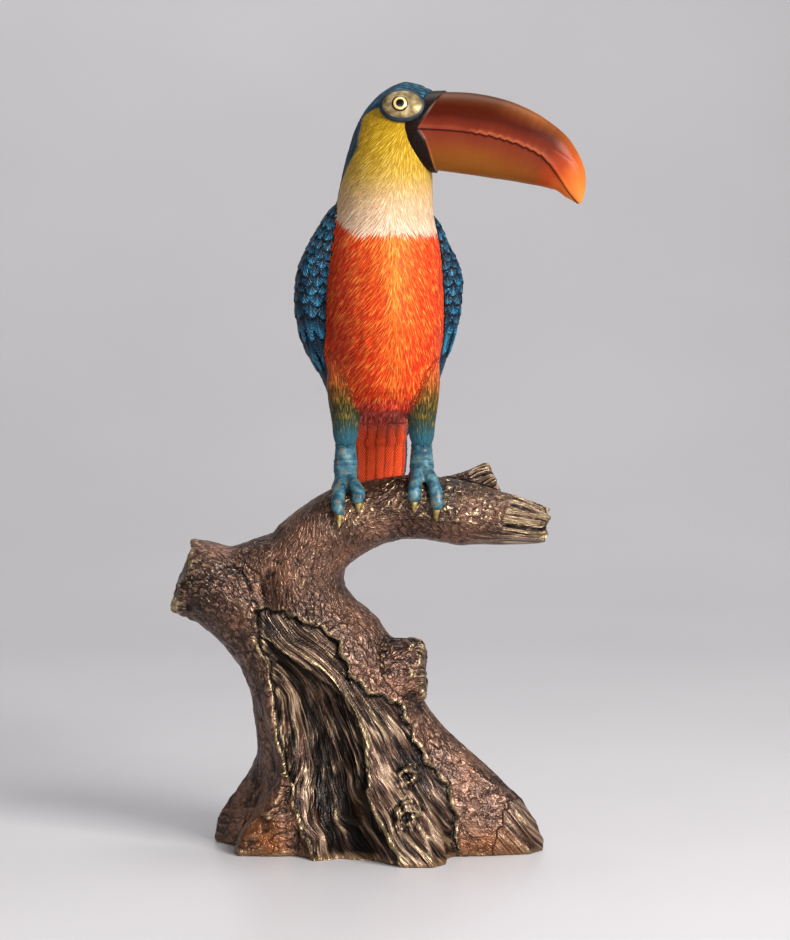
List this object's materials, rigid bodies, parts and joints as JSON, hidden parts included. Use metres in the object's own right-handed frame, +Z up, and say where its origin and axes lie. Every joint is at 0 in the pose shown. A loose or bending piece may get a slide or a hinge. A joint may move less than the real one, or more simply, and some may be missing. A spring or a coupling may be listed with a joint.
{
  "type": "toucan sculpture",
  "caption": "Painted cast toucan with a large curved beak, standing on the side branch of a patinated cast tree stump.",
  "frame": {"origin": "on the flat underside of the stump, under the middle of the trunk's foot", "axes": "+Z up, -Y the side that the breast faces and the work is seen from, +X the way the branch and the beak point"},
  "size_m": [0.2682, 0.1346, 0.4986],
  "materials": {
    "painted_casting": "satin enamel in dark blue, yellow, cream, orange and red over cast relief, with brass left bare round the eyes and on the claws",
    "bronze_patina": "dark brown bronze patina, rubbed through to brass on the high edges"
  },
  "bodies": {
    "root": {"tree_stump": "bronze_patina", "toucan": "painted_casting"}
  },
  "joints": []
}
